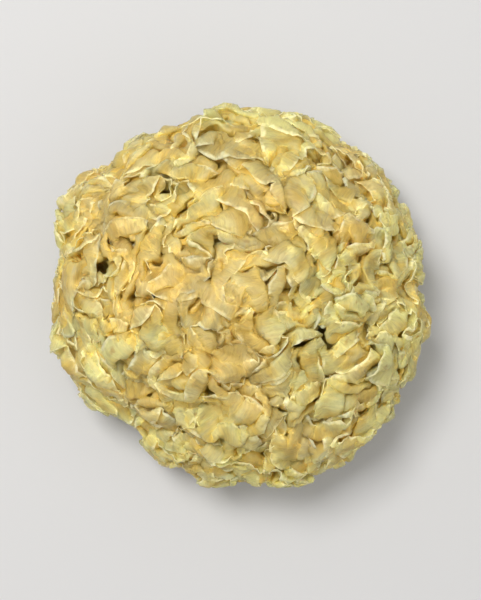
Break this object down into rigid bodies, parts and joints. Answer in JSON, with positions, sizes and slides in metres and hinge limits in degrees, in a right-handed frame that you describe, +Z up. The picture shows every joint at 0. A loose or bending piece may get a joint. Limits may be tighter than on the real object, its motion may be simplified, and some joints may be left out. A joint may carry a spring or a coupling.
{
  "type": "dried snow fungus head",
  "caption": "Dried snow fungus head: a dome of thin, ruffled, straw-yellow fronds that fork from one hard base with a flat cut underneath.",
  "frame": {"origin": "middle of the base's flat cut face, where the head was cut from its log", "axes": "+Z up out of the cut face, through the crown of the head; X and Y along the cut face"},
  "size_m": [0.0917, 0.0915, 0.0567],
  "materials": {
    "frond": "satin",
    "base": "matte"
  },
  "bodies": {
    "root": {"base": "base", "frond_01": "frond", "frond_02": "frond", "frond_03": "frond", "frond_04": "frond", "frond_05": "frond", "frond_06": "frond", "frond_07": "frond", "frond_08": "frond", "frond_09": "frond", "frond_10": "frond", "frond_11": "frond", "frond_12": "frond", "frond_13": "frond", "frond_14": "frond", "frond_15": "frond", "frond_16": "frond", "frond_17": "frond", "frond_18": "frond", "frond_19": "frond", "frond_20": "frond", "frond_21": "frond", "frond_22": "frond", "frond_23": "frond", "frond_24": "frond"}
  },
  "joints": []
}
